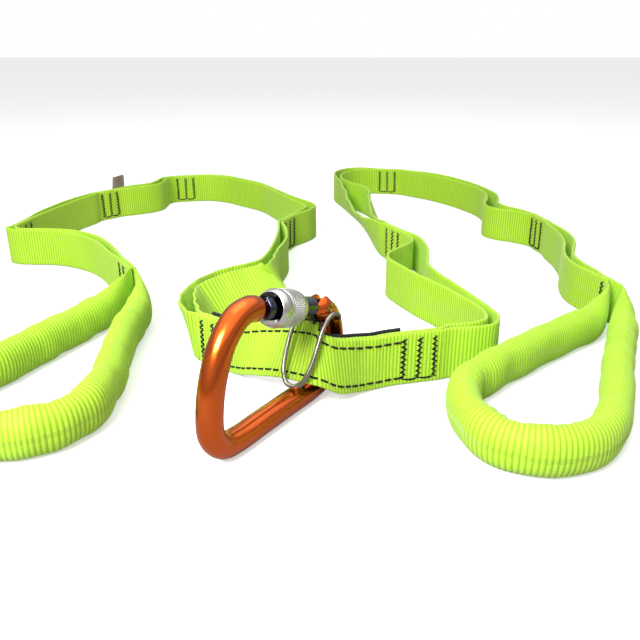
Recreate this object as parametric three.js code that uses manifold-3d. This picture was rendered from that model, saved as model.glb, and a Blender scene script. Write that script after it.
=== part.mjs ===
// A two-armed foot-loop climbing strap, set out on edge, with its screw-gate carabiner.
// Millimetres, +Z up. The strap stands on the plane Z = 0. In plan, +X runs along the
// stitched bridge from the left arm to the right arm, and +Y runs away from the foot loops.
import * as THREE from 'three';
import { mergeVertices } from 'three/addons/utils/BufferGeometryUtils.js';
import Module from 'manifold-3d';

const wasm = await Module();
wasm.setup();

// ---------- driving dimensions ----------
const STRAP_WIDTH = 25;
const PLY_THICKNESS = 1.6;
const PLY_GAP = 0.75;
const REINFORCEMENT_THICKNESS = 1.2;
const STATION_STEP = 7;
const BRIDGE_STEP = 3;
const FIT = 0.35;
const RUNNING_FIT = 0.08;

const THREAD_WIDTH = 0.9;
const THREAD_DEPTH = 0.6;
const THREAD_CLEARANCE = 0.3;
const STITCH_CLEARANCE = 0.7;
const TACK_ROW_PITCH = 7.5;
const TACK_ROWS = 3;
const TACK_EDGE_MARGIN = 2.5;
const TACK_SWING = 1.1;
const TACK_ZIGS = 9;
const TACK_OVERRUN = 3;
const SEAM_GAP = 1.4;
const STITCH_MARGIN = 3.5;

const TUBE_WIDTH = 14;
const TUBE_HEIGHT = 19.5;
const TUBE_WALL = 1.3;
const TUBE_FLAT_WIDTH = 3.4;
const TUBE_SIDES = 12;
const TUBE_STEP = 9;
const TUBE_OPENING_LENGTH = 34;
const CORE_CLEARANCE = 0.9;
const CORE_SETBACK = 30;

const BAR_RADIUS = 5.1;
const BAR_SIDES = 14;
const GATE_LENGTH = 41.2;
const NOSE_REACH = 45.6;
const GATE_RADIUS = 4.6;
const GATE_TONGUE_THICKNESS = 4;
const GATE_TONGUE_HEIGHT = 7.6;
const NOSE_TONGUE_THICKNESS = 3;
const NOSE_TONGUE_OVERLAP = 4;
const NOSE_ROOT = 2;
const KNUCKLE_RADIUS = 5.7;
const PIN_RADIUS = 1.5;
const PIN_LENGTH = 10.2;
const PLUNGER_RADIUS = 1.1;
const PLUNGER_LENGTH = 5;
const SPRING_RADIUS = 1.0;
const SPRING_WIRE = 0.35;
const SPRING_LENGTH = 11;
const SPRING_TURNS = 6;

const SLEEVE_RADIUS = 7.75;
const SLEEVE_LENGTH = 18.5;
const SLEEVE_START = 17.6;
const SLEEVE_MOUTH_RADIUS = 6.3;
const SLEEVE_MOUTH_DEPTH = 9;
const SLEEVE_BEVEL = 1.1;
const LINER_WALL = 0.7;
const LINER_LENGTH = 6;

const BAIL_WIRE_RADIUS = 1;
const BAIL_HALF_WIDTH = 7.2;
const BAIL_TIP_DEPTH = 2.4;

const LABEL_WIDTH = 17;
const LABEL_LENGTH = 14;
const LABEL_THICKNESS = 0.9;
const LABEL_LIFT = 17.5;

const plyPitch = PLY_THICKNESS + PLY_GAP;
const halfStack = plyPitch / 2;

// ---------- materials ----------
const paint = (color, roughness, metalness = 0) =>
  new THREE.MeshStandardMaterial({ color, roughness, metalness });
const webbingYellow = () => paint(0xb4f02a, 0.75);
const webbingBlack = () => paint(0x151515, 0.8);
const threadBlack = () => paint(0x101010, 0.7);
const coreGrey = () => paint(0x8a8c86, 0.85);
const anodisedOrange = () => paint(0xc8501c, 0.28, 0.9);
const anodisedBlue = () => paint(0x1c2433, 0.3, 0.9);
const bareAluminium = () => paint(0xb9b9b6, 0.38, 0.95);
const stainless = () => paint(0x9b9a97, 0.25, 1);
const labelBrown = () => paint(0x8a776c, 0.7);

// ---------- bar tacks: where the plies are sewn together ----------
// at: middle of the tack in plan, heading: way the strap runs there in degrees,
// face: +1 shows the rows on the left-hand ply, -1 on the right-hand ply.
const tacks = {
  left_throat: { at: [-101, 117.5], heading: 120, face: 1, rows: 1 },
  left_outer: { at: [-108.5, 130], heading: 122, face: 1, rows: 2 },
  left_bend: { at: [-206, 225], heading: 84, face: -1, rows: TACK_ROWS },
  left_label: { at: [-176, 336], heading: 50, face: -1, rows: TACK_ROWS },
  left_far: { at: [-122, 406], heading: 15, face: -1, rows: TACK_ROWS },
  left_near: { at: [-17, 238], heading: -112, face: 1, rows: TACK_ROWS },
  bridge_left: { at: [-42, 38], heading: -38, face: -1, rows: TACK_ROWS },
  bridge_right: { at: [51, 22], heading: 15, face: -1, rows: TACK_ROWS },
  right_near: { at: [59, 208], heading: 115, face: 1, rows: TACK_ROWS },
  right_far: { at: [75, 442], heading: -12, face: -1, rows: TACK_ROWS },
  right_outer: { at: [168, 238], heading: -80, face: -1, rows: TACK_ROWS },
  right_throat: { at: [163.5, 98], heading: -75, face: -1, rows: 1 },
};

// ---------- routes of the two plies, from the left throat to the right throat ----------
// A station is [x, y, lean, lift] of the lower edge: lean tips the upper edge to the
// left-hand side, in degrees, and lift raises the lower edge off the ground.
const bridgeRoute = [
  [-29, 25, 8, 2], [-19, 12.5, 22, 7.5], [-7.8, 2.6, 31, 11.2], [5.5, -4.2, 23, 11.2],
  [14.5, 0.5, 10, 5], [23, 9, 4, 1.5], [32, 15.5],
];
const leftArmInner = [
  'left_throat', 'left_outer',
  [-124, 151], [-133, 166], [-142, 178], [-153, 188], [-166, 196], [-178, 200],
  [-192, 201], [-204, 203], [-210, 208],
  'left_bend',
  [-206, 252], [-202, 278], [-196, 302], [-187, 324],
  'left_label',
  [-165, 354], [-156, 362], [-147, 370], [-143.5, 382], [-141.5, 396],
  'left_far',
  [-98, 411.5], [-81, 405], [-67, 392], [-47, 370], [-32, 343], [-18, 316], [-8, 300],
  [1, 286], [3, 276], [-1, 264],
  'left_near',
  [-16.5, 207], [-15, 184], [-17, 167], [-19.5, 150], [-17, 137, -8, 1], [-12, 124, -25, 4],
  [-9, 112, -46, 9], [-15, 102, -56, 11], [-25, 95, -54, 10], [-35, 88, -48, 8], [-43, 80, -40, 5],
  [-46.5, 70, -27, 3], [-49, 60, -16, 1], [-51, 52, -3],
  'bridge_left',
];
const rightArmInner = [
  'bridge_right',
  [66, 30], [77, 32.5], [84, 37], [86, 44], [85, 52], [82, 61], [78, 71], [70, 88], [61, 104],
  [52, 124], [48, 136], [49, 146], [53, 153], [58, 160], [64, 168], [67, 176], [66.5, 185],
  'right_near',
  [50.5, 228, 8], [48.5, 250, 26], [47, 275, 34], [42, 315, 30], [35, 348, 16], [27, 384, 4],
  [22, 405], [22, 425], [28, 440], [38, 449], [51, 451],
  'right_far',
  [96, 434], [115, 421], [131, 400], [144, 372], [153, 341], [155.5, 320], [153, 303], [149.5, 288],
  [152, 276], [159, 266],
  'right_outer',
  [172, 217], [174, 202], [174, 186], [171, 171], [164, 153], [160.5, 140], [160.5, 126],
  [163, 112],
  'right_throat',
];
const leftArmOuter = [
  'left_throat', 'left_outer',
  [-119, 152], [-128, 168], [-137, 181], [-148, 192], [-163, 201], [-178, 204.5],
  [-189, 205], [-199, 206], [-204.5, 210],
  'left_bend',
  [-201, 252], [-196, 276], [-190, 299], [-183, 320],
  'left_label',
  [-158, 349], [-145, 358], [-138, 368], [-136.5, 384], [-136.5, 395],
  'left_far',
  [-96, 407.5], [-81, 399], [-66, 384], [-45, 361], [-32, 334], [-18, 305], [-9, 288],
  [-4, 277], [-6, 266],
  'left_near',
  [-21.5, 205], [-22, 181], [-23.5, 160], [-25.5, 144], [-28.5, 132], [-34.5, 122.5, -4],
  [-42, 114.5, -9], [-48, 105, -15], [-50.5, 92, -20, 2], [-52, 78, -24, 3], [-53.5, 66, -24, 3],
  [-54.8, 57, -18, 2], [-54.8, 50, -8],
  'bridge_left',
];
const rightArmOuter = [
  'bridge_right',
  [66, 25.5], [78, 27.5], [87, 31.5], [91, 40], [90, 50], [87, 61], [83, 75], [78, 91], [74, 103],
  [70, 122], [72, 140], [74, 155], [74, 172], [71.5, 186],
  'right_near',
  [55.8, 222, 5], [58.5, 240, 24], [59, 262, 32], [59, 290, 30], [56, 315, 20], [52, 336, 8],
  [48, 349], [43, 361], [35, 374], [29, 391], [27, 408], [31, 423], [40, 435], [52, 441],
  'right_far',
  [96, 429], [112, 412], [127, 390], [140, 363], [146, 343], [147, 323], [143.5, 303], [138, 286],
  [138, 275], [144, 266], [153, 260],
  'right_outer',
  [168, 215], [168, 195], [165, 173], [158, 152], [155, 138], [155, 124],
  [158.5, 111],
  'right_throat',
];
const labelMiddle = [-169, 347];
const SIDE_LEFT = 1;
const SIDE_RIGHT = -1;

// The middle line of each foot loop in plan, from its far limb round to its near limb.
const leftLoopRoute = [
  [-97.4, 115.3], [-94.5, 106.5], [-91.5, 96], [-90, 80], [-90, 58], [-88, 34], [-85, 12], [-84, -8], [-86.5, -24],
  [-94, -35], [-106, -41], [-120, -43.5], [-135, -42], [-146, -35], [-151, -22], [-150, -8],
  [-144, 5], [-137, 19], [-130, 36], [-123, 53], [-115.5, 71], [-109, 88], [-102.6, 103.5],
  [-100.9, 113.3],
];
const rightLoopRoute = [
  [166.35, 94.9], [168, 86.5], [165.5, 76], [157.5, 55], [147.5, 33], [138, 12], [130, -8],
  [121, -28], [112, -42], [100, -50.5],
  [88, -52.5], [77, -49.5], [69, -41.5], [65, -29], [65, -15], [69, -2.5], [79, 9], [92.5, 22],
  [107.5, 35.5], [124, 50], [140, 63], [152, 74.5], [160.2, 85.5],
  [162.55, 93.9],
];

// ---------- helpers ----------
const radians = THREE.MathUtils.degToRad;
const WORLD_UP = new THREE.Vector3(0, 0, 1);
const group = new THREE.Group();

function addMesh(name, geometry, material, parent = group) {
  const mesh = new THREE.Mesh(geometry, material);
  mesh.name = name;
  parent.add(mesh);
  return mesh;
}

function geometryFrom(positions, indices) {
  const geometry = new THREE.BufferGeometry();
  geometry.setAttribute('position', new THREE.Float32BufferAttribute(positions, 3));
  geometry.setIndex(indices);
  geometry.computeVertexNormals();
  return geometry;
}

function toSolid(geometry) {
  const bare = geometry.clone();
  bare.deleteAttribute('normal');
  bare.deleteAttribute('uv');
  const merged = mergeVertices(bare, 1e-4);
  return new wasm.Manifold(new wasm.Mesh({
    numProp: 3,
    vertProperties: new Float32Array(merged.attributes.position.array),
    triVerts: new Uint32Array(merged.index.array),
  }));
}

function fromSolid(solid) {
  const mesh = solid.getMesh();
  return geometryFrom(Array.from(mesh.vertProperties), Array.from(mesh.triVerts));
}

const join = (...shapes) => fromSolid(shapes.map(toSolid).reduce((a, b) => a.add(b)));
const cut = (base, ...tools) =>
  fromSolid(tools.map(toSolid).reduce((a, b) => a.subtract(b), toSolid(base)));

// A closed body from rings of the same number of points. Ring points run anticlockwise
// when looked at along the way the rings advance. A hole ring set makes it a pipe.
function loft(rings, innerRings = null) {
  const count = rings[0].length;
  const last = rings.length - 1;
  const positions = [];
  const indices = [];
  const addRings = (set) => {
    const start = positions.length / 3;
    set.flat().forEach((p) => positions.push(p.x, p.y, p.z));
    return start;
  };
  const quad = (a, b, c, d) => indices.push(a, b, c, a, c, d);
  const walls = (start, inward) => {
    for (let i = 0; i < last; i += 1) {
      for (let j = 0; j < count; j += 1) {
        const k = (j + 1) % count;
        const a = start + i * count + j;
        const b = start + i * count + k;
        const ahead = count;
        if (inward) quad(a, b, b + ahead, a + ahead);
        else if (2 * j < count) quad(a, a + ahead, b + ahead, b);
        else quad(a + ahead, b + ahead, b, a);
      }
    }
  };
  const outer = addRings(rings);
  walls(outer, false);
  if (innerRings) {
    const inner = addRings(innerRings);
    walls(inner, true);
    for (let j = 0; j < count; j += 1) {
      const k = (j + 1) % count;
      const far = last * count;
      quad(outer + j, outer + k, inner + k, inner + j);
      quad(outer + far + k, outer + far + j, inner + far + j, inner + far + k);
    }
  } else {
    for (let j = 1; j < count - 1; j += 1) {
      indices.push(outer, outer + j, outer + j + 1);
      indices.push(outer + last * count, outer + last * count + j + 1, outer + last * count + j);
    }
  }
  return geometryFrom(positions, indices);
}

// ---------- ply paths ----------
function tackStations({ at, heading, rows }, side) {
  const along = new THREE.Vector2(Math.cos(radians(heading)), Math.sin(radians(heading)));
  const left = new THREE.Vector2(-along.y, along.x).multiplyScalar(side * halfStack);
  const reach = (rows - 1) * TACK_ROW_PITCH * 0.5 + TACK_OVERRUN;
  return [-reach, 0, reach].map((s) => [at[0] + along.x * s + left.x, at[1] + along.y * s + left.y]);
}

const resolveRoute = (route, side) => route.flatMap(
  (item) => (typeof item === 'string' ? tackStations(tacks[item], side) : [item]));

class PlyPath {
  constructor(stations) {
    this.leans = stations.map((s) => s[2] ?? 0);
    this.curve = new THREE.CatmullRomCurve3(
      stations.map(([x, y, , lift = 0]) => new THREE.Vector3(x, y, lift)), false, 'centripetal');
    this.curve.arcLengthDivisions = stations.length * 40;
    this.length = this.curve.getLength();
  }

  leanAt(t) {
    const place = t * (this.leans.length - 1);
    const i = Math.min(Math.floor(place), this.leans.length - 2);
    const blend = THREE.MathUtils.smoothstep(place - i, 0, 1);
    return radians(THREE.MathUtils.lerp(this.leans[i], this.leans[i + 1], blend));
  }

  // Share of the length at which the path passes nearest a point in plan.
  shareNear([x, y]) {
    const target = new THREE.Vector3(x, y, 0);
    const tries = Math.round(this.length);
    let best = 0;
    let nearest = Infinity;
    for (let i = 0; i <= tries; i += 1) {
      const point = this.curve.getPointAt(i / tries);
      point.z = 0;
      const distance = point.distanceTo(target);
      if (distance < nearest) {
        nearest = distance;
        best = i / tries;
      }
    }
    return best;
  }

  // Lower-edge point, upward direction across the width, and left-hand face direction.
  frameAt(share) {
    const t = this.curve.getUtoTmapping(share);
    const point = this.curve.getPoint(t);
    point.z = Math.max(point.z, 0);
    const along = this.curve.getTangent(t).setZ(0).normalize();
    const lean = this.leanAt(t);
    const left = new THREE.Vector3(-along.y, along.x, 0);
    const up = left.clone().multiplyScalar(Math.sin(lean)).setZ(Math.cos(lean));
    const face = left.clone().multiplyScalar(Math.cos(lean)).setZ(-Math.sin(lean));
    return { point, up, face, lean };
  }
}

// A flat strip that follows a ply path: offset stands it off the path's face to the left,
// keeping its lower edge level, and rise starts it further up the width.
function ribbon(path, { from = 0, to = 1, offset = 0, rise = 0, width = STRAP_WIDTH,
  thickness = PLY_THICKNESS, step = STATION_STEP }) {
  const steps = Math.max(1, Math.round((to - from) * path.length / step));
  const rings = [];
  for (let i = 0; i <= steps; i += 1) {
    const { point, up, face, lean } = path.frameAt(from + (to - from) * i / steps);
    const base = point.clone()
      .addScaledVector(WORLD_UP, Math.abs(Math.sin(lean)) * thickness / 2)
      .addScaledVector(face, offset)
      .addScaledVector(up, offset * Math.tan(lean) + rise);
    const corner = (side, height) => base.clone()
      .addScaledVector(face, side * thickness / 2)
      .addScaledVector(up, height);
    rings.push([corner(1, 0), corner(-1, 0), corner(-1, width), corner(1, width)]);
  }
  return loft(rings);
}

// ---------- arms: two plies each, parted at the bridge's end tacks ----------
function tackEnd({ at, heading, rows }, way, beyond) {
  const reach = (rows - 1) * TACK_ROW_PITCH * 0.5 + beyond;
  return [at[0] + Math.cos(radians(heading)) * reach * way,
    at[1] + Math.sin(radians(heading)) * reach * way];
}
function addArmPly(name, route, side) {
  const path = new PlyPath(resolveRoute(route, side));
  const startsAtBridge = route[0] === 'bridge_right';
  const seam = startsAtBridge
    ? tackEnd(tacks.bridge_right, 1, TACK_OVERRUN + SEAM_GAP)
    : tackEnd(tacks.bridge_left, -1, TACK_OVERRUN + SEAM_GAP);
  const share = path.shareNear(seam);
  addMesh(name, ribbon(path, startsAtBridge ? { from: share } : { to: share }), webbingYellow());
  return path;
}
const labelPath = addArmPly('left_arm_inner_ply', leftArmInner, SIDE_LEFT);
addArmPly('left_arm_outer_ply', leftArmOuter, SIDE_RIGHT);
addArmPly('right_arm_inner_ply', rightArmInner, SIDE_LEFT);
addArmPly('right_arm_outer_ply', rightArmOuter, SIDE_RIGHT);

// ---------- bridge: two plies, black reinforcement and two rows of running stitch ----------
const bridgePath = new PlyPath([
  ...tackStations(tacks.bridge_left, 0), ...bridgeRoute, ...tackStations(tacks.bridge_right, 0)]);
addMesh('bridge_front_ply', ribbon(bridgePath, { offset: -halfStack, step: BRIDGE_STEP }), webbingYellow());
addMesh('bridge_back_ply', ribbon(bridgePath, { offset: halfStack, step: BRIDGE_STEP }), webbingYellow());
addMesh('bridge_reinforcement', ribbon(bridgePath, {
  offset: halfStack + PLY_THICKNESS / 2 + PLY_GAP + REINFORCEMENT_THICKNESS / 2,
  thickness: REINFORCEMENT_THICKNESS, step: BRIDGE_STEP,
}), webbingBlack());

const stitchOffset = -(halfStack + PLY_THICKNESS / 2 + STITCH_CLEARANCE + THREAD_DEPTH / 2);
const runningStitch = (rise) => ribbon(bridgePath, {
  from: bridgePath.shareNear(tackEnd(tacks.bridge_left, 1, STITCH_MARGIN)),
  to: bridgePath.shareNear(tackEnd(tacks.bridge_right, -1, STITCH_MARGIN)),
  offset: stitchOffset, rise, width: THREAD_WIDTH, thickness: THREAD_DEPTH, step: BRIDGE_STEP,
});
addMesh('bridge_upper_stitching',
  runningStitch(STRAP_WIDTH - STITCH_MARGIN - THREAD_WIDTH), threadBlack());
addMesh('bridge_lower_stitching', runningStitch(STITCH_MARGIN), threadBlack());

// ---------- bar tacks: rows of zigzag joined along the lower edge ----------
function tackOutline(rows) {
  const top = STRAP_WIDTH - TACK_EDGE_MARGIN;
  const bottom = TACK_EDGE_MARGIN + THREAD_WIDTH;
  const half = THREAD_WIDTH / 2;
  const side = (middle, sign) => {
    const points = [];
    for (let i = 0; i <= TACK_ZIGS; i += 1) {
      const swing = i % 2 === 0 ? -TACK_SWING : TACK_SWING;
      points.push([middle + swing + sign * half, bottom + (top - bottom) * i / TACK_ZIGS]);
    }
    return points;
  };
  const outline = [];
  for (let row = 0; row < rows; row += 1) {
    const middle = (row - (rows - 1) / 2) * TACK_ROW_PITCH;
    outline.push(...side(middle, -1), ...side(middle, 1).reverse());
  }
  const firstX = outline[0][0];
  const lastX = outline[outline.length - 1][0];
  outline.push([lastX, TACK_EDGE_MARGIN], [firstX, TACK_EDGE_MARGIN]);
  return new THREE.Shape(outline.map(([x, y]) => new THREE.Vector2(x, y)));
}

function addTack(name, { at, heading, face, rows }) {
  const geometry = new THREE.ExtrudeGeometry(tackOutline(rows), {
    depth: THREAD_DEPTH, bevelEnabled: false,
  });
  geometry.translate(0, 0, halfStack + PLY_THICKNESS / 2 + THREAD_CLEARANCE);
  const holder = new THREE.Group();
  holder.position.set(at[0], at[1], 0);
  holder.rotation.z = radians(face > 0 ? heading + 180 : heading);
  group.add(holder);
  const mesh = addMesh(`${name}_bar_tack`, geometry, threadBlack(), holder);
  mesh.rotation.x = Math.PI / 2;
}
Object.entries(tacks).forEach(([name, tack]) => addTack(name, tack));

// ---------- label tab, sewn in behind the left-hand ply ----------
const labelCentre = labelPath.shareNear(labelMiddle);
const labelShare = LABEL_LENGTH / labelPath.length / 2;
addMesh('label_tab', ribbon(labelPath, {
  from: labelCentre - labelShare, to: labelCentre + labelShare,
  offset: PLY_THICKNESS / 2 + PLY_GAP + LABEL_THICKNESS, rise: LABEL_LIFT,
  width: LABEL_WIDTH, thickness: LABEL_THICKNESS,
}), labelBrown());

// ---------- foot loops: webbing tube opened over a stiff core ----------
function loopRings(route, { inset, setback }) {
  const curve = new THREE.CatmullRomCurve3(
    route.map(([x, y]) => new THREE.Vector3(x, y, 0)), false, 'centripetal');
  curve.arcLengthDivisions = route.length * 40;
  const length = curve.getLength();
  const steps = Math.round((length - 2 * setback) / TUBE_STEP);
  const rings = [];
  for (let i = 0; i <= steps; i += 1) {
    const place = setback + (length - 2 * setback) * i / steps;
    const fromEnd = Math.min(place, length - place);
    const open = THREE.MathUtils.smoothstep(fromEnd, 0, TUBE_OPENING_LENGTH);
    const halfWide = THREE.MathUtils.lerp(TUBE_FLAT_WIDTH, TUBE_WIDTH, open) / 2 - inset;
    const halfHigh = THREE.MathUtils.lerp(STRAP_WIDTH, TUBE_HEIGHT, open) / 2;
    const centre = curve.getPointAt(place / length);
    const along = curve.getTangentAt(place / length);
    const left = new THREE.Vector3(-along.y, along.x, 0);
    const ring = [];
    for (let j = 0; j < TUBE_SIDES; j += 1) {
      const angle = -2 * Math.PI * j / TUBE_SIDES;
      ring.push(centre.clone()
        .addScaledVector(left, Math.cos(angle) * halfWide)
        .setZ(halfHigh + Math.sin(angle) * (halfHigh - inset)));
    }
    rings.push(ring);
  }
  return rings;
}

function addFootLoop(side, route) {
  addMesh(`${side}_loop_tube`, loft(
    loopRings(route, { inset: 0, setback: 0 }),
    loopRings(route, { inset: TUBE_WALL, setback: 0 })), webbingYellow());
  addMesh(`${side}_loop_core`, loft(
    loopRings(route, { inset: TUBE_WALL + CORE_CLEARANCE, setback: CORE_SETBACK })), coreGrey());
}
addFootLoop('left', leftLoopRoute);
addFootLoop('right', rightLoopRoute);

// ---------- carabiner ----------
// Its own plane: x along the spine towards the small end, y up from the spine, z out of
// the flank that faces the right arm. It stands on its spine.
const carabinerPlace = new THREE.Vector2(-13.1, -19.1);
const carabinerYaw = 57;
const hinge = new THREE.Vector2(36.2, 35.3);
const gateAngle = radians(163.3);
const gateWay = new THREE.Vector2(Math.cos(gateAngle), Math.sin(gateAngle));
const alongGate = (reach) => hinge.clone().addScaledVector(gateWay, reach);
const noseFace = alongGate(NOSE_REACH);
const noseBend = alongGate(NOSE_REACH + 3);

const stand = new THREE.Group();
stand.position.set(carabinerPlace.x, carabinerPlace.y, BAR_RADIUS);
stand.rotation.z = radians(carabinerYaw);
group.add(stand);
const carabiner = new THREE.Group();
carabiner.rotation.x = Math.PI / 2;
stand.add(carabiner);

const bodyLine = new THREE.CatmullRomCurve3([
  [noseFace.x, noseFace.y], [noseBend.x, noseBend.y], [-17.5, 48.4], [-26, 41.5], [-31.8, 30.5],
  [-34.8, 18], [-34.6, 8], [-29.5, 1.6], [-21, 0], [-6, 0], [12, 0], [30, 0], [39, 1.8], [45, 8],
  [46.6, 17], [45.4, 25], [42, 31.2], [hinge.x, hinge.y],
].map(([x, y]) => new THREE.Vector3(x, y, 0)), false, 'centripetal');

function roundSection(radius, sides) {
  const shape = new THREE.Shape();
  for (let j = 0; j < sides; j += 1) {
    const angle = 2 * Math.PI * (j + 0.5) / sides;
    const method = j === 0 ? 'moveTo' : 'lineTo';
    shape[method](Math.cos(angle) * radius, Math.sin(angle) * radius);
  }
  shape.closePath();
  return shape;
}
const sweep = (curve, radius, sides, steps) =>
  new THREE.ExtrudeGeometry(roundSection(radius, sides), { steps, extrudePath: curve });
function crossCylinder(radius, length, x, y, sides = 16) {
  const geometry = new THREE.CylinderGeometry(radius, radius, length, sides);
  geometry.rotateX(Math.PI / 2);
  geometry.translate(x, y, 0);
  return geometry;
}
function block(sizeX, sizeY, sizeZ, x, y, z = 0, angle = 0) {
  const geometry = new THREE.BoxGeometry(sizeX, sizeY, sizeZ);
  geometry.rotateZ(angle);
  geometry.translate(x, y, z);
  return geometry;
}

// body: bar, hinge knuckle with a slot for the gate, nose tongue, bail hole
const bailPivot = new THREE.Vector2(42.6, 29.4);
const knuckleSlot = GATE_TONGUE_THICKNESS + 2 * FIT;
const noseTongueLength = NOSE_REACH - GATE_LENGTH + NOSE_TONGUE_OVERLAP + NOSE_ROOT;
const noseTongueMiddle = alongGate(NOSE_REACH + NOSE_ROOT - noseTongueLength / 2);
const slotLength = 14.8;
const slotMiddle = alongGate(slotLength / 2 - GATE_TONGUE_HEIGHT / 2 - 0.5);
const bodySolid = cut(
  join(
    sweep(bodyLine, BAR_RADIUS, BAR_SIDES, 60),
    new THREE.SphereGeometry(KNUCKLE_RADIUS, 20, 14).translate(hinge.x, hinge.y, 0),
    block(noseTongueLength, 6, NOSE_TONGUE_THICKNESS,
      noseTongueMiddle.x, noseTongueMiddle.y, 0, gateAngle)),
  block(slotLength, 14, knuckleSlot, slotMiddle.x, slotMiddle.y, 0, gateAngle),
  crossCylinder(PIN_RADIUS + RUNNING_FIT, PIN_LENGTH * 2, hinge.x, hinge.y),
  crossCylinder(BAIL_WIRE_RADIUS + FIT, BAR_RADIUS * 4, bailPivot.x, bailPivot.y, 12));
addMesh('carabiner_body', bodySolid, anodisedOrange(), carabiner);
addMesh('gate_hinge_pin', crossCylinder(PIN_RADIUS, PIN_LENGTH, 0, 0), stainless(), carabiner)
  .position.set(hinge.x, hinge.y, 0);

// gate, in a frame on the hinge pin with x towards the nose
const gateFrame = new THREE.Group();
gateFrame.position.set(hinge.x, hinge.y, 0);
gateFrame.rotation.z = gateAngle;
carabiner.add(gateFrame);
function alongX(radius, start, length, sides = 20) {
  const geometry = new THREE.CylinderGeometry(radius, radius, length, sides);
  geometry.rotateZ(-Math.PI / 2);
  geometry.translate(start + length / 2, 0, 0);
  return geometry;
}
const barrelStart = KNUCKLE_RADIUS + 1.6;
const noseSlotDepth = NOSE_TONGUE_OVERLAP + 1;
const boreStart = PIN_RADIUS + FIT;
const boreLength = PLUNGER_LENGTH + SPRING_LENGTH + 2;
const gateSolid = cut(
  join(
    alongX(GATE_RADIUS, barrelStart, GATE_LENGTH - barrelStart),
    block(barrelStart + 1, GATE_TONGUE_HEIGHT, GATE_TONGUE_THICKNESS, (barrelStart + 1) / 2, 0),
    crossCylinder(GATE_TONGUE_HEIGHT / 2, GATE_TONGUE_THICKNESS, 0, 0, 20)),
  crossCylinder(PIN_RADIUS + RUNNING_FIT, GATE_TONGUE_THICKNESS * 2, 0, 0),
  alongX(PLUNGER_RADIUS + FIT, 0, boreStart + boreLength, 12),
  block(noseSlotDepth * 2, GATE_RADIUS * 3, NOSE_TONGUE_THICKNESS + 2 * FIT, GATE_LENGTH, 0));
addMesh('carabiner_gate', gateSolid, anodisedBlue(), gateFrame);
addMesh('gate_plunger', alongX(PLUNGER_RADIUS, boreStart + FIT, PLUNGER_LENGTH, 12),
  stainless(), gateFrame);

class Helix extends THREE.Curve {
  getPoint(t) {
    const angle = 2 * Math.PI * SPRING_TURNS * t;
    const reach = SPRING_RADIUS - SPRING_WIRE / 2;
    return new THREE.Vector3(t * (SPRING_LENGTH - SPRING_WIRE * 2),
      Math.cos(angle) * reach, Math.sin(angle) * reach);
  }
}
const springGeometry = sweep(new Helix(), SPRING_WIRE / 2, 4, SPRING_TURNS * 8);
springGeometry.translate(boreStart + FIT + PLUNGER_LENGTH + 2 * SPRING_WIRE, 0, 0);
addMesh('gate_spring', springGeometry, stainless(), gateFrame);

// sleeve and its threaded liner, turned about the gate's axis
function turned(profile, start, sides = 28) {
  const geometry = new THREE.LatheGeometry(
    profile.map(([radius, reach]) => new THREE.Vector2(radius, reach)), sides);
  geometry.rotateZ(-Math.PI / 2);
  geometry.translate(start, 0, 0);
  return mergeVertices(geometry);
}
const linerInner = GATE_RADIUS + FIT;
const linerOuter = linerInner + LINER_WALL;
const sleeveBore = linerOuter + FIT;
const linerStart = 1.2;
const sleeveProfile = [
  [GATE_RADIUS + FIT, 0], [SLEEVE_RADIUS - 1.6, 0], [SLEEVE_RADIUS - 0.3, 3.2],
  [SLEEVE_RADIUS - 0.3, 4], [SLEEVE_RADIUS, 4.4], [SLEEVE_RADIUS, SLEEVE_LENGTH - 3.4],
  [SLEEVE_RADIUS - 0.3, SLEEVE_LENGTH - 3], [SLEEVE_RADIUS - 0.3, SLEEVE_LENGTH - SLEEVE_BEVEL],
  [SLEEVE_RADIUS - SLEEVE_BEVEL, SLEEVE_LENGTH], [SLEEVE_MOUTH_RADIUS, SLEEVE_LENGTH],
  [SLEEVE_MOUTH_RADIUS, SLEEVE_LENGTH - SLEEVE_MOUTH_DEPTH],
  [sleeveBore, SLEEVE_LENGTH - SLEEVE_MOUTH_DEPTH], [sleeveBore, linerStart],
  [GATE_RADIUS + FIT, linerStart], [GATE_RADIUS + FIT, 0],
];
addMesh('gate_sleeve', turned(sleeveProfile, SLEEVE_START), bareAluminium(), gateFrame);
const linerProfile = [
  [linerInner, 0], [linerOuter, 0], [linerOuter, LINER_LENGTH], [linerInner, LINER_LENGTH],
  [linerInner, 0],
];
addMesh('sleeve_thread_liner', turned(linerProfile, SLEEVE_START + linerStart + FIT, 20),
  bareAluminium(), gateFrame);

// wire bail: tips in the body near the hinge, both strands down to the spine
const bailTip = BAR_RADIUS - BAIL_TIP_DEPTH;
const halfBail = [
  [bailPivot.x, bailPivot.y, bailTip], [bailPivot.x, bailPivot.y, BAR_RADIUS + 0.6],
  [40.4, 31.8, BAIL_HALF_WIDTH], [36.4, 33.6, BAIL_HALF_WIDTH], [31.8, 32.6, BAIL_HALF_WIDTH],
  [27.4, 28.6, BAIL_HALF_WIDTH], [23.8, 22.8, BAIL_HALF_WIDTH], [20.4, 16.6, BAIL_HALF_WIDTH - 0.4],
  [17.4, 11.2, BAIL_HALF_WIDTH - 1.6], [16, BAR_RADIUS + BAIL_WIRE_RADIUS + 1.2, BAIL_HALF_WIDTH - 4],
];
const bailBottom = [15.8, BAR_RADIUS + BAIL_WIRE_RADIUS + FIT, 0];
const mirrored = halfBail.map(([x, y, z]) => [x, y, -z]).reverse();
const bailLine = new THREE.CatmullRomCurve3(
  [...halfBail, bailBottom, ...mirrored].map(([x, y, z]) => new THREE.Vector3(x, y, z)),
  false, 'centripetal');
addMesh('wire_bail', sweep(bailLine, BAIL_WIRE_RADIUS, 8, 56), stainless(), carabiner);

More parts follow.
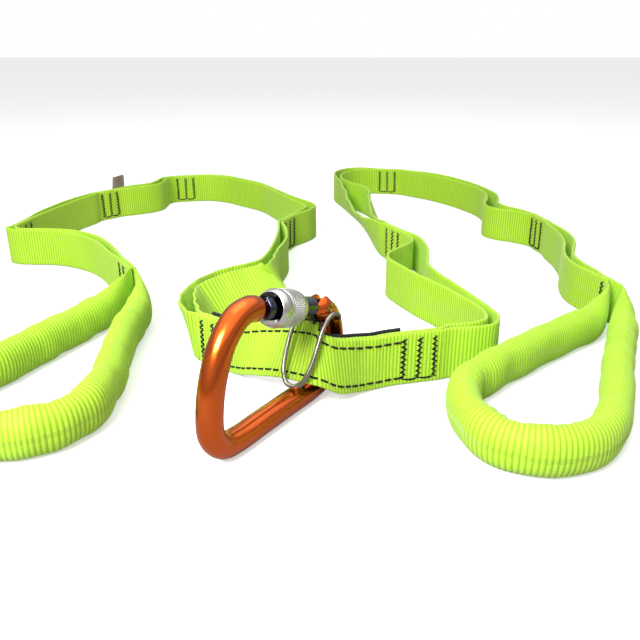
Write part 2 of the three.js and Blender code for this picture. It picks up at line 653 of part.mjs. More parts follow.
// ---------- origin: middle of the footprint, on the ground ----------
group.updateMatrixWorld(true);
const extent = new THREE.Box3().setFromObject(group, true);
const middle = extent.getCenter(new THREE.Vector3());
group.position.set(-middle.x, -middle.y, -extent.min.z);

export default group;
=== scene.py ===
# %% [markdown]
# # A two-armed foot-loop climbing strap and its screw-gate carabiner
# The strap is one long piece of ribbed tubular nylon webbing. It is doubled and sewn into pockets with
# black bar tacks, and its two far ends open out into stuffed foot loops. An orange carabiner with a
# screw sleeve hangs at the middle. Here the imported model's hinge pin fixes where every piece stands,
# and each cell below makes one piece or one finish in full detail.

# %% Load the frame
import bpy
import math
import random
import numpy as np
from mathutils import Matrix, Vector


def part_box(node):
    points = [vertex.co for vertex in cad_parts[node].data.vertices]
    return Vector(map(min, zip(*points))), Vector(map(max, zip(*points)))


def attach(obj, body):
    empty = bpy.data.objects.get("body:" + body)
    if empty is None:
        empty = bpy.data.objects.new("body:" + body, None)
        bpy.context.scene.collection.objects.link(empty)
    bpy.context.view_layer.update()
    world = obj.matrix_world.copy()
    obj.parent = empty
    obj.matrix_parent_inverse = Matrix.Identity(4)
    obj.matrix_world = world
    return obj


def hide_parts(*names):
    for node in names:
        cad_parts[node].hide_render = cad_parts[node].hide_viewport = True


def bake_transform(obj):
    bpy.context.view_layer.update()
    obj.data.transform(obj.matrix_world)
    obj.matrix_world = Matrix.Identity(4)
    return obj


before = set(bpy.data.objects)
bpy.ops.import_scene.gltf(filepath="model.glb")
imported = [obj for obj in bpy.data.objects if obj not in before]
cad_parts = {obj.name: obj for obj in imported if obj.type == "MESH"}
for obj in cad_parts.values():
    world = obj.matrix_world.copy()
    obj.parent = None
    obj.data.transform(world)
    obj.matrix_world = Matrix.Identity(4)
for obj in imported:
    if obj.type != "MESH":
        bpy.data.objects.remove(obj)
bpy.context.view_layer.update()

# %% [markdown]
# The strap was set out on paper with its own zero point, near the carabiner. The hinge pin of the gate
# is the one piece whose place is known both ways, so it gives the step from the paper to the frame.
# All later cells write sizes in millimetres on that paper, and `place` turns them into metres.

# %% Step from the setting-out drawing to the frame
MM = 0.001
carabiner_corner = np.array([-13.1, -19.1, 5.1])
carabiner_turn = math.radians(57)
along_spine = np.array([math.cos(carabiner_turn), math.sin(carabiner_turn), 0.0])
out_of_flank = np.array([math.sin(carabiner_turn), -math.cos(carabiner_turn), 0.0])
upward = np.array([0.0, 0.0, 1.0])
hinge_at = (36.2, 35.3)

pin_low, pin_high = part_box("gate_hinge_pin")
pin_middle = (np.array(pin_low) + np.array(pin_high)) / 2 / MM
paper_zero = pin_middle - (carabiner_corner + along_spine * hinge_at[0] + upward * hinge_at[1])


def place(points):
    return (np.asarray(points, float) + paper_zero) * MM


print("paper zero lies at", np.round(paper_zero, 2), "mm in the frame")

# %% [markdown]
# ## Camera, floor and light
# The strap stands on its edge on a pale floor and is seen from a little above, as someone kneeling over
# it would. A large soft lamp beside the camera lights the near loops most. Metal needs something to
# mirror, so the sky is bright overhead and darker low down, while the camera itself sees plain white.

# %% Camera
camera_data = bpy.data.cameras.new("kneeling_view")
camera_data.sensor_width = 36
camera_data.lens = 39.375
camera_data.clip_start = 0.01
camera = bpy.data.objects.new("kneeling_view", camera_data)
bpy.context.scene.collection.objects.link(camera)
camera.location = place([7, -266, 145.7])
camera.rotation_euler = (math.radians(90 - 21.86), 0, 0)
bpy.context.scene.camera = camera
bpy.context.scene.view_settings.view_transform = "Standard"

# %% Floor
bpy.ops.object.select_all(action="DESELECT")
bpy.ops.mesh.primitive_plane_add(size=12, location=(0, 0, -0.0004))
floor = bpy.context.object
floor.name = "pale_floor"
floor_paint = bpy.data.materials.new("pale_floor")
floor_paint.use_nodes = True
floor_shader = floor_paint.node_tree.nodes["Principled BSDF"]
floor_shader.inputs["Roughness"].default_value = 0.9
floor_shader.inputs["Specular IOR Level"].default_value = 0.1
floor_shader.inputs["Emission Color"].default_value = (1, 1, 1, 1)
floor_view = floor_paint.node_tree.nodes.new("ShaderNodeLightPath")
for socket, low, high in (("Base Color", 0.34, 0.93), ("Emission Strength", 0.0, 0.5)):
    step = floor_paint.node_tree.nodes.new("ShaderNodeMapRange")
    step.inputs["To Min"].default_value = low
    step.inputs["To Max"].default_value = high
    floor_paint.node_tree.links.new(floor_view.outputs["Is Camera Ray"], step.inputs["Value"])
    floor_paint.node_tree.links.new(step.outputs[0], floor_shader.inputs[socket])
floor.data.materials.append(floor_paint)

# %% Sky
sky = bpy.data.worlds.new("studio_sky")
bpy.context.scene.world = sky
sky.use_nodes = True
links = sky.node_tree.links
make = sky.node_tree.nodes.new
background = sky.node_tree.nodes["Background"]
direction = make("ShaderNodeTexCoord")
split = make("ShaderNodeSeparateXYZ")
bands = make("ShaderNodeValToRGB")
ramp = bands.color_ramp
ramp.elements[0].position = 0.0
ramp.elements[0].color = (0.16, 0.15, 0.15, 1)
ramp.elements[1].position = 0.5
ramp.elements[1].color = (0.30, 0.30, 0.31, 1)
for spot, grey in ((0.62, 0.55), (0.72, 0.35), (0.8, 1.25), (1.0, 1.5)):
    band = ramp.elements.new(spot)
    band.color = (grey, grey, grey, 1)
to_unit = make("ShaderNodeMapRange")
to_unit.inputs["From Min"].default_value = -1
links.new(direction.outputs["Generated"], split.inputs[0])
links.new(split.outputs["Z"], to_unit.inputs["Value"])
links.new(to_unit.outputs[0], bands.inputs["Fac"])
plain = make("ShaderNodeBackground")
plain.inputs["Color"].default_value = (1, 1, 1, 1)
plain.inputs["Strength"].default_value = 0.34
seen = make("ShaderNodeLightPath")
glossy_or_not = make("ShaderNodeMixShader")
links.new(bands.outputs["Color"], background.inputs["Color"])
background.inputs["Strength"].default_value = 1.0
links.new(seen.outputs["Is Glossy Ray"], glossy_or_not.inputs["Fac"])
links.new(plain.outputs[0], glossy_or_not.inputs[1])
links.new(background.outputs[0], glossy_or_not.inputs[2])
white = make("ShaderNodeBackground")
camera_or_not = make("ShaderNodeMixShader")
links.new(seen.outputs["Is Camera Ray"], camera_or_not.inputs["Fac"])
links.new(glossy_or_not.outputs[0], camera_or_not.inputs[1])
links.new(white.outputs[0], camera_or_not.inputs[2])
white.inputs["Color"].default_value = (1, 1, 1, 1)
links.new(camera_or_not.outputs[0], sky.node_tree.nodes["World Output"].inputs["Surface"])


# %% Lamps
def soft_lamp(name, at, aim, size, watts, tint=(1, 1, 1)):
    lamp_data = bpy.data.lights.new(name, "AREA")
    lamp_data.shape = "RECTANGLE"
    lamp_data.size, lamp_data.size_y = size
    lamp_data.energy = watts
    lamp_data.color = tint
    lamp = bpy.data.objects.new(name, lamp_data)
    bpy.context.scene.collection.objects.link(lamp)
    lamp.location = at
    lamp.rotation_euler = (Vector(aim) - Vector(at)).to_track_quat("-Z", "Y").to_euler()
    print(name, "gives", watts, "W")


soft_lamp("lamp_by_camera", (-0.22, -0.62, 0.46), (0.03, -0.12, 0.02), (0.30, 0.22), 7.0)
soft_lamp("lamp_overhead", (0.1, 0.1, 1.1), (0, 0, 0), (0.8, 0.8), 3.6)

# %% [markdown]
# ## Finishes
# Every finish is mixed from nodes. The webbing reads its own UV map, in millimetres: U runs along the
# webbing and V across it, so a rib or a yarn keeps its size wherever the strap bends.


# %% Small helpers for finishes
def new_finish(name):
    paint = bpy.data.materials.new(name)
    paint.use_nodes = True
    return paint, paint.node_tree.nodes, paint.node_tree.links, paint.node_tree.nodes["Principled BSDF"]


def maths(nodes, links, kind, a, b=0.0):
    node = nodes.new("ShaderNodeMath")
    node.operation = kind
    for socket, value in zip(node.inputs, (a, b)):
        if isinstance(value, (int, float)):
            socket.default_value = value
        else:
            links.new(value, socket)
    return node.outputs[0]


def colour_ramp(nodes, links, factor, stops):
    node = nodes.new("ShaderNodeValToRGB")
    node.color_ramp.elements[0].position, node.color_ramp.elements[0].color = stops[0][0], (*stops[0][1], 1)
    node.color_ramp.elements[1].position, node.color_ramp.elements[1].color = stops[-1][0], (*stops[-1][1], 1)
    for spot, colour in stops[1:-1]:
        node.color_ramp.elements.new(spot).color = (*colour, 1)
    links.new(factor, node.inputs["Fac"])
    return node.outputs["Color"]


# %% [markdown]
# Tubular nylon webbing: fat ribs of weft lie across the tape, and fine warp yarns cross them. The ribs
# are real geometry. The finish adds the yarns as a small bump, paints shade into the valleys between
# ribs and lets a broad, faint noise vary the dye. Fluorescent dye turns blue light to green; a weak
# emission of the same hue paints light over the whole webbing, its shadows too.

# %% Woven finish
RIB_PITCH = 1.8


def woven_finish(name, ridge, valley_shade, yarn_pitch, painted_glow, rough, rib_pitch=RIB_PITCH, sheen=0.25):
    paint, nodes, links, shader = new_finish(name)
    uv = nodes.new("ShaderNodeUVMap")
    uv.uv_map = "weave"
    parts = nodes.new("ShaderNodeSeparateXYZ")
    links.new(uv.outputs[0], parts.inputs[0])
    along, across = parts.outputs["X"], parts.outputs["Y"]
    rib = maths(nodes, links, "ABSOLUTE", maths(nodes, links, "SINE",
                maths(nodes, links, "MULTIPLY", along, math.pi / rib_pitch)))
    rib_number = maths(nodes, links, "FLOOR", maths(nodes, links, "DIVIDE", along, rib_pitch))
    shifted = maths(nodes, links, "ADD", maths(nodes, links, "MULTIPLY", across, 2 * math.pi / yarn_pitch),
                    maths(nodes, links, "MULTIPLY", rib_number, math.pi))
    yarn = maths(nodes, links, "SINE", shifted)
    fuzz = nodes.new("ShaderNodeTexNoise")
    fuzz.inputs["Scale"].default_value = 1.6
    fuzz.inputs["Detail"].default_value = 5
    links.new(uv.outputs[0], fuzz.inputs["Vector"])
    cloud = nodes.new("ShaderNodeTexNoise")
    cloud.inputs["Scale"].default_value = 26
    cloud.inputs["Detail"].default_value = 3
    place_of = nodes.new("ShaderNodeTexCoord")
    links.new(place_of.outputs["Object"], cloud.inputs["Vector"])
    # The rib term darkens the colour towards the valleys between ribs: painted shade. The yarns and the broad
    # noise vary the dye.
    shade = maths(nodes, links, "ADD", maths(nodes, links, "MULTIPLY", rib, 0.72),
                  maths(nodes, links, "MULTIPLY", yarn, 0.07))
    shade = maths(nodes, links, "ADD", shade, maths(nodes, links, "MULTIPLY", cloud.outputs["Fac"], 0.3))
    middle = tuple((a + b) / 2 for a, b in zip(ridge, valley_shade))
    colour = colour_ramp(nodes, links, shade, [(0.12, valley_shade), (0.45, middle), (0.85, ridge)])
    links.new(colour, shader.inputs["Base Color"])
    height = maths(nodes, links, "ADD", maths(nodes, links, "MULTIPLY", yarn, 0.35),
                   maths(nodes, links, "MULTIPLY", fuzz.outputs["Fac"], 0.5))
    bump = nodes.new("ShaderNodeBump")
    bump.inputs["Strength"].default_value = 0.55
    bump.inputs["Distance"].default_value = 0.00012
    links.new(height, bump.inputs["Height"])
    links.new(bump.outputs[0], shader.inputs["Normal"])
    links.new(maths(nodes, links, "ADD", maths(nodes, links, "MULTIPLY", fuzz.outputs["Fac"], 0.2), rough),
              shader.inputs["Roughness"])
    shader.inputs["Sheen Weight"].default_value = sheen
    shader.inputs["Sheen Roughness"].default_value = 0.4
    shader.inputs["Specular IOR Level"].default_value = 0.3
    # Emission of the webbing's own colour: a painted glow that lights its shadows.
    if painted_glow:
        links.new(colour, shader.inputs["Emission Color"])
        shader.inputs["Emission Strength"].default_value = painted_glow
    return paint


# The darker colour given to each finish, after the rib-top colour, is painted shade for the rib valleys.
hi_vis = woven_finish("hi_vis_webbing", (0.50, 0.80, 0.050), (0.22, 0.44, 0.010), 0.8, 0.06, 0.5)
black_tape = woven_finish("black_tape", (0.022, 0.022, 0.024), (0.004, 0.004, 0.005), 0.9, 0, 0.5, 2.1, 0.0)
label_cloth = woven_finish("label_cloth", (0.34, 0.27, 0.22), (0.22, 0.17, 0.14), 0.5, 0, 0.6, 0.5, 0.1)
thread_black = woven_finish("black_thread", (0.014, 0.014, 0.016), (0.003, 0.003, 0.004),
                            0.5, 0, 0.5, 0.45, 0.0)

# %% [markdown]
# ## Metal finishes
# Polished, dyed anodising mirrors the room in its own colour. Fine scuffs from rope and rock break the
# mirror up, so the roughness follows a fine noise, and a shallow bump gives the draw marks.


# %% Anodised and bare metal
def metal_finish(name, colour, edge_wear_highlight, rough, spread, grain, bump_depth, coat=0.0):
    paint, nodes, links, shader = new_finish(name)
    where = nodes.new("ShaderNodeTexCoord")
    scuff = nodes.new("ShaderNodeTexNoise")
    scuff.inputs["Scale"].default_value = grain
    scuff.inputs["Detail"].default_value = 6
    links.new(where.outputs["Object"], scuff.inputs["Vector"])
    wide = nodes.new("ShaderNodeTexNoise")
    wide.inputs["Scale"].default_value = 60
    links.new(where.outputs["Object"], wide.inputs["Vector"])
    # Convex edges, found by pointiness, are mixed towards a lighter colour: partly edge wear, partly a
    # painted highlight along the edges.
    edge = nodes.new("ShaderNodeNewGeometry")
    sharp = maths(nodes, links, "SUBTRACT", edge.outputs["Pointiness"], 0.53)
    wear_and_highlight = maths(nodes, links, "MULTIPLY", sharp, 9.0)
    wear_and_highlight = maths(nodes, links, "MULTIPLY", wear_and_highlight, scuff.outputs["Fac"])
    factor = maths(nodes, links, "ADD", maths(nodes, links, "MULTIPLY", wide.outputs["Fac"], 0.4), wear_and_highlight)
    mix = colour_ramp(nodes, links, factor, [(0.1, colour), (0.35, tuple(c * 0.9 for c in colour)),
                                             (0.9, edge_wear_highlight)])
    links.new(mix, shader.inputs["Base Color"])
    rubbed = maths(nodes, links, "ADD", maths(nodes, links, "MULTIPLY", scuff.outputs["Fac"], spread), rough)
    links.new(rubbed, shader.inputs["Roughness"])
    bump = nodes.new("ShaderNodeBump")
    bump.inputs["Strength"].default_value = 0.3
    bump.inputs["Distance"].default_value = bump_depth
    links.new(scuff.outputs["Fac"], bump.inputs["Height"])
    links.new(bump.outputs[0], shader.inputs["Normal"])
    shader.inputs["Metallic"].default_value = 1.0
    shader.inputs["Coat Weight"].default_value = coat
    shader.inputs["Coat Roughness"].default_value = 0.08
    return paint


# The colour given after each metal's base colour is its lighter edge colour: worn metal, and on the orange
# bar a painted highlight.
orange_dye = metal_finish("orange_anodised", (0.78, 0.13, 0.014), (0.86, 0.42, 0.24), 0.17, 0.12, 420, 2e-5,
                          coat=0.3)
blue_black_dye = metal_finish("blue_black_anodised", (0.055, 0.062, 0.11), (0.4, 0.4, 0.45),
                              0.12, 0.12, 500, 1e-5, coat=0.4)
bare_metal = metal_finish("turned_aluminium", (0.72, 0.70, 0.67), (0.85, 0.83, 0.8), 0.22, 0.16, 700, 2e-5)
wire_metal = metal_finish("stainless_wire", (0.34, 0.31, 0.27), (0.6, 0.58, 0.54), 0.22, 0.15, 900, 1e-5)

# %% [markdown]
# ## Setting out the webbing
# A strap is laid out by walking along it. A station gives the place of its lower edge, how far the upper
# edge tips to the left-hand side in degrees, and how high the lower edge is lifted. Where two plies are
# sewn together the route names the bar tack instead, and both plies pass straight through it, side by
# side. A smooth curve through the stations then carries the section of the webbing.

# %% Bar tacks and stations
WIDTH = 25.0
PLY = 1.75
HALF_STACK = 1.175
OVERRUN = 3.0
ROW_PITCH = 7.5
# name: (middle in plan, heading in degrees, side the rows show on, rows)
bar_tacks = {
    "left_throat": ((-101, 117.5), 120, 1, 1),
    "left_outer": ((-108.5, 130), 122, 1, 2),
    "left_bend": ((-206, 225), 84, -1, 3),
    "left_label": ((-176, 336), 50, -1, 3),
    "left_far": ((-122, 406), 15, -1, 3),
    "left_near": ((-17, 238), -112, 1, 3),
    "bridge_left": ((-42, 38), -38, -1, 3),
    "bridge_right": ((51, 22), 15, -1, 3),
    "right_near": ((59, 208), 115, 1, 3),
    "right_far": ((75, 442), -12, -1, 3),
    "right_outer": ((168, 238), -80, -1, 3),
    "right_throat": ((163.5, 98), -75, -1, 1),
}
bridge_route = [
  [-29, 25, 8, 2], [-19, 12.5, 22, 7.5], [-7.8, 2.6, 31, 11.2], [5.5, -4.2, 23, 11.2],
  [14.5, 0.5, 10, 5], [23, 9, 4, 1.5], [32, 15.5],
]
left_arm_inner = [
  "left_throat", "left_outer",
  [-124, 151], [-133, 166], [-142, 178], [-153, 188], [-166, 196], [-178, 200],
  [-192, 201], [-204, 203], [-210, 208],
  "left_bend",
  [-206, 252], [-202, 278], [-196, 302], [-187, 324],
  "left_label",
  [-165, 354], [-156, 362], [-147, 370], [-143.5, 382], [-141.5, 396],
  "left_far",
  [-98, 411.5], [-81, 405], [-67, 392], [-47, 370], [-32, 343], [-18, 316], [-8, 300],
  [1, 286], [3, 276], [-1, 264],
  "left_near",
  [-16.5, 207], [-15, 184], [-17, 167], [-19.5, 150], [-17, 137, -8, 1], [-12, 124, -25, 4],
  [-9, 112, -46, 9], [-15, 102, -56, 11], [-25, 95, -54, 10], [-35, 88, -48, 8], [-43, 80, -40, 5],
  [-46.5, 70, -27, 3], [-49, 60, -16, 1], [-51, 52, -3],
  "bridge_left",
]
left_arm_outer = [
  "left_throat", "left_outer",
  [-119, 152], [-128, 168], [-137, 181], [-148, 192], [-163, 201], [-178, 204.5],
  [-189, 205], [-199, 206], [-204.5, 210],
  "left_bend",
  [-201, 252], [-196, 276], [-190, 299], [-183, 320],
  "left_label",
  [-158, 349], [-145, 358], [-138, 368], [-136.5, 384], [-136.5, 395],
  "left_far",
  [-96, 407.5], [-81, 399], [-66, 384], [-45, 361], [-32, 334], [-18, 305], [-9, 288],
  [-4, 277], [-6, 266],
  "left_near",
  [-21.5, 205], [-22, 181], [-23.5, 160], [-25.5, 144], [-28.5, 132], [-34.5, 122.5, -4],
  [-42, 114.5, -9], [-48, 105, -15], [-50.5, 92, -20, 2], [-52, 78, -24, 3], [-53.5, 66, -24, 3],
  [-54.8, 57, -18, 2], [-54.8, 50, -8],
  "bridge_left",
]
right_arm_inner = [
  "bridge_right",
  [66, 30], [77, 32.5], [84, 37], [86, 44], [85, 52], [82, 61], [78, 71], [70, 88], [61, 104],
  [52, 124], [48, 136], [49, 146], [53, 153], [58, 160], [64, 168], [67, 176], [66.5, 185],
  "right_near",
  [50.5, 228, 8], [48.5, 250, 26], [47, 275, 34], [42, 315, 30], [35, 348, 16], [27, 384, 4],
  [22, 405], [22, 425], [28, 440], [38, 449], [51, 451],
  "right_far",
  [96, 434], [115, 421], [131, 400], [144, 372], [153, 341], [155.5, 320], [153, 303], [149.5, 288],
  [152, 276], [159, 266],
  "right_outer",
  [172, 217], [174, 202], [174, 186], [171, 171], [164, 153], [160.5, 140], [160.5, 126],
  [163, 112],
  "right_throat",
]
right_arm_outer = [
  "bridge_right",
  [66, 25.5], [78, 27.5], [87, 31.5], [91, 40], [90, 50], [87, 61], [83, 75], [78, 91], [74, 103],
  [70, 122], [72, 140], [74, 155], [74, 172], [71.5, 186],
  "right_near",
  [55.8, 222, 5], [58.5, 240, 24], [59, 262, 32], [59, 290, 30], [56, 315, 20], [52, 336, 8],
  [48, 349], [43, 361], [35, 374], [29, 391], [27, 408], [31, 423], [40, 435], [52, 441],
  "right_far",
  [96, 429], [112, 412], [127, 390], [140, 363], [146, 343], [147, 323], [143.5, 303], [138, 286],
  [138, 275], [144, 266], [153, 260],
  "right_outer",
  [168, 215], [168, 195], [165, 173], [158, 152], [155, 138], [155, 124],
  [158.5, 111],
  "right_throat",
]
left_loop = [
  [-97.4, 115.3], [-94.5, 106.5], [-91.5, 96], [-90, 80], [-90, 58], [-88, 34], [-85, 12],
  [-84, -8], [-86.5, -24],
  [-94, -35], [-106, -41], [-120, -43.5], [-135, -42], [-146, -35], [-151, -22], [-150, -8],
  [-144, 5], [-137, 19], [-130, 36], [-123, 53], [-115.5, 71], [-109, 88], [-102.6, 103.5],
  [-100.9, 113.3],
]
right_loop = [
  [166.35, 94.9], [168, 86.5], [165.5, 76], [157.5, 55], [147.5, 33], [138, 12], [130, -8],
  [121, -28], [112, -42], [100, -50.5],
  [88, -52.5], [77, -49.5], [69, -41.5], [65, -29], [65, -15], [69, -2.5], [79, 9], [92.5, 22],
  [107.5, 35.5], [124, 50], [140, 63], [152, 74.5], [160.2, 85.5],
  [162.55, 93.9],
]


# %% A curve through stations
def tack_stations(name, side):
    at, heading, _, rows = bar_tacks[name]
    turn = math.radians(heading)
    ahead = np.array([math.cos(turn), math.sin(turn)])
    left = np.array([-ahead[1], ahead[0]]) * side * HALF_STACK
    reach = (rows - 1) * ROW_PITCH / 2 + OVERRUN
    return [[*(np.array(at) + ahead * s + left)] for s in (-reach, 0, reach)]


def fill_in(route, side):
    stations = []
    for item in route:
        stations += tack_stations(item, side) if isinstance(item, str) else [item]
    return stations


def centripetal(points, per_span=40):
    points = np.asarray(points, float)
    ends = np.vstack([2 * points[0] - points[1], points, 2 * points[-1] - points[-2]])
    samples, spans = [], []
    for i in range(len(points) - 1):
        p0, p1, p2, p3 = ends[i:i + 4]
        t1 = max(np.linalg.norm(p1 - p0), 1e-6) ** 0.5
        t2 = t1 + max(np.linalg.norm(p2 - p1), 1e-6) ** 0.5
        t3 = t2 + max(np.linalg.norm(p3 - p2), 1e-6) ** 0.5
        t = np.linspace(t1, t2, per_span, endpoint=False)[:, None]
        a1 = (t1 - t) / t1 * p0 + t / t1 * p1
        a2 = (t2 - t) / (t2 - t1) * p1 + (t - t1) / (t2 - t1) * p2
        a3 = (t3 - t) / (t3 - t2) * p2 + (t - t2) / (t3 - t2) * p3
        b1 = (t2 - t) / t2 * a1 + t / t2 * a2
        b2 = (t3 - t) / (t3 - t1) * a2 + (t - t1) / (t3 - t1) * a3
        samples.append((t2 - t) / (t2 - t1) * b1 + (t - t1) / (t2 - t1) * b2)
        spans.append(i + np.linspace(0, 1, per_span, endpoint=False))
    return np.vstack(samples + [points[-1:]]), np.concatenate(spans + [[len(points) - 1]])


class Route:
    def __init__(self, stations):
        full = np.array([list(s) + [0] * (4 - len(s)) for s in stations], float)
        curve, spans = centripetal(full[:, [0, 1, 3]])
        steps = np.linalg.norm(np.diff(curve, axis=0), axis=1)
        self.far = np.concatenate([[0], np.cumsum(steps)])
        self.curve = curve
        low = np.clip(spans.astype(int), 0, len(full) - 2)
        ease = spans - low
        ease = ease * ease * (3 - 2 * ease)
        self.lean = np.radians(full[low, 2] * (1 - ease) + full[low + 1, 2] * ease)
        self.length = self.far[-1]

    def nearest(self, x, y):
        return self.far[np.argmin(np.hypot(self.curve[:, 0] - x, self.curve[:, 1] - y))]

    def at(self, s):
        point = np.stack([np.interp(s, self.far, self.curve[:, k]) for k in range(3)], 1)
        point[:, 2] = np.maximum(point[:, 2], 0)
        ahead = np.stack([np.interp(s + 0.6, self.far, self.curve[:, k]) -
                          np.interp(s - 0.6, self.far, self.curve[:, k]) for k in range(2)], 1)
        ahead /= np.linalg.norm(ahead, axis=1)[:, None]
        lean = np.interp(s, self.far, self.lean)
        left = np.stack([-ahead[:, 1], ahead[:, 0], 0 * lean], 1)
        rise = np.array([0, 0, 1.0])
        up = left * np.sin(lean)[:, None] + rise * np.cos(lean)[:, None]
        face = left * np.cos(lean)[:, None] - rise * np.sin(lean)[:, None]
        return point, up, face, lean


# %% Skin a row of sections
def skin(name, rings, along, around, paint):
    count, around_count = rings.shape[:2]
    mesh = bpy.data.meshes.new(name)
    ring = np.arange(around_count)
    step = np.roll(ring, -1)
    base = (np.arange(count - 1) * around_count)[:, None]
    quads = np.stack([base + ring, base + step, base + around_count + step, base + around_count + ring], 2)
    faces = quads.reshape(-1, 4).tolist()
    faces.append(ring[::-1].tolist())
    faces.append(((count - 1) * around_count + ring).tolist())
    mesh.from_pydata(place(rings.reshape(-1, 3)).tolist(), [], faces)
    turn_out(mesh)
    layer = mesh.uv_layers.new(name="weave")
    corner = np.empty(len(mesh.loops), np.int32)
    mesh.loops.foreach_get("vertex_index", corner)
    uv = np.stack([np.repeat(along, around_count)[corner], np.tile(around, count)[corner]], 1)
    layer.data.foreach_set("uv", uv.astype(np.float32).ravel())
    mesh.materials.append(paint)
    mesh.shade_smooth()
    piece = bpy.data.objects.new(name, mesh)
    bpy.context.scene.collection.objects.link(piece)
    return piece


def turn_out(mesh):
    corners = np.empty(len(mesh.vertices) * 3)
    mesh.vertices.foreach_get("co", corners)
    corners = corners.reshape(-1, 3)
    corners = corners - corners.mean(0)
    mesh.calc_loop_triangles()
    tri = np.empty(len(mesh.loop_triangles) * 3, np.int32)
    mesh.loop_triangles.foreach_get("vertices", tri)
    a, b, c = corners[tri.reshape(-1, 3)].transpose(1, 0, 2)
    if np.einsum("ij,ij->i", a, np.cross(b, c)).sum() < 0:
        mesh.flip_normals()


# %% [markdown]
# ## One ply of webbing
# Flattened tubular webbing is two walls thick with a soft rolled edge. Its section is drawn once, and
# every rib is a real ridge: the section swells and shrinks along the way, a little unevenly, because
# the loom's tension is never quite the same.

# %% Ply of webbing
RINGS_PER_RIB = 5


def rib_height(s, pitch, depth, seed):
    chance = np.random.default_rng(seed)
    number = np.floor(s / pitch).astype(int)
    uneven = 1 + 0.22 * (chance.random(number.max() - number.min() + 1)[number - number.min()] - 0.5)
    return depth * np.abs(np.sin(math.pi * s / pitch)) ** 0.75 * uneven


def ply_piece(name, route, start, end, paint, offset=0.0, width=WIDTH, ply=PLY,
              pitch=RIB_PITCH, depth=0.2, seed=1):
    steps = int(round((end - start) / pitch * RINGS_PER_RIB))
    s = np.linspace(start, end, steps + 1)
    point, up, face, lean = route.at(s)
    heights = np.array([0.7, 2.2, 5, 9, 12.5, 16, 20, 22.8, 24.3]) * width / WIDTH
    edge = np.array([0.75, 0.0, -0.75])
    section = ([(1, h) for h in heights] + [(e, width if e == 0 else width - 0.18) for e in edge] +
               [(-1, h) for h in heights[::-1]] + [(-e, 0 if e == 0 else 0.18) for e in edge])
    section = np.array(section)
    swell = ply / 2 - depth + rib_height(s, pitch, depth, seed)
    base = point + face * offset + up * (offset * np.tan(lean))[:, None]
    base[:, 2] += np.abs(np.sin(lean)) * ply / 2
    out = swell[:, None] * section[None, :, 0]
    rings = base[:, None] + face[:, None] * out[..., None] + up[:, None] * section[None, :, 1, None]
    girth = np.concatenate([[0], np.cumsum(np.hypot(*np.diff(section * [ply / 2, 1], axis=0).T))])
    piece = skin(name, rings, s, girth, paint)
    print(f"{name}: {end - start:.0f} mm of webbing, {len(piece.data.polygons)} faces")
    return piece


SEAM_GAP = 0.15


def tack_edge(name, way, beyond):
    at, heading, _, rows = bar_tacks[name]
    reach = (rows - 1) * ROW_PITCH / 2 + beyond
    turn = math.radians(heading)
    return at[0] + math.cos(turn) * reach * way, at[1] + math.sin(turn) * reach * way


# %% [markdown]
# The four arm plies are cut from those routes. Each arm has two plies side by side; between the tacks
# they part and make the pockets that a boot or a carabiner can use.

# %% The arms
arm_routes = {
    "left_arm_inner_ply": (left_arm_inner, 1), "left_arm_outer_ply": (left_arm_outer, -1),
    "right_arm_inner_ply": (right_arm_inner, 1), "right_arm_outer_ply": (right_arm_outer, -1)}
laid = {}
for number, (node, (stations, side)) in enumerate(arm_routes.items()):
    route = Route(fill_in(stations, side))
    laid[node] = route
    if stations[0] == "bridge_right":
        seam = route.nearest(*tack_edge("bridge_right", 1, OVERRUN + SEAM_GAP))
        piece = ply_piece(node + "_webbing", route, seam, route.length, hi_vis, seed=number)
    else:
        seam = route.nearest(*tack_edge("bridge_left", -1, OVERRUN + SEAM_GAP))
        piece = ply_piece(node + "_webbing", route, 0, seam, hi_vis, seed=number)
    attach(piece, "strap")
    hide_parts(node)

# %% [markdown]
# ## The stitched bridge
# The middle of the strap passes through the carabiner, so it is reinforced: two plies of webbing in
# front, and a tape of hard-wearing black polyester behind, a little wider than the webbing.

# %% The bridge
bridge = Route(tack_stations("bridge_left", 0) + bridge_route + tack_stations("bridge_right", 0))
front = ply_piece("bridge_front_webbing", bridge, 0, bridge.length, hi_vis, offset=-HALF_STACK, seed=11)
back = ply_piece("bridge_back_webbing", bridge, 0, bridge.length, hi_vis, offset=HALF_STACK, seed=12)
TAPE_OFFSET, TAPE_FACE = 1.7, 0.72
pad_end = bridge.nearest(43.5, 20)
pad = ply_piece("bridge_black_tape", bridge, 6, pad_end, black_tape, offset=HALF_STACK + TAPE_OFFSET,
                width=WIDTH + 1.1, ply=1.45, pitch=2.1, depth=0.25, seed=13)
for piece, node, finish in ((front, "bridge_front_ply", "webbing"), (back, "bridge_back_ply", "webbing"),
                            (pad, "bridge_reinforcement", "reinforcement")):
    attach(piece, "strap")
    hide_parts(node)

# %% [markdown]
# ## Thread
# Every stitch is a short length of bonded thread. A running stitch shows as dashes, pulled into the
# webbing at both ends. A bar tack is a dense zigzag, row beside row, with a single thread carried along
# the lower edge from one row to the next.


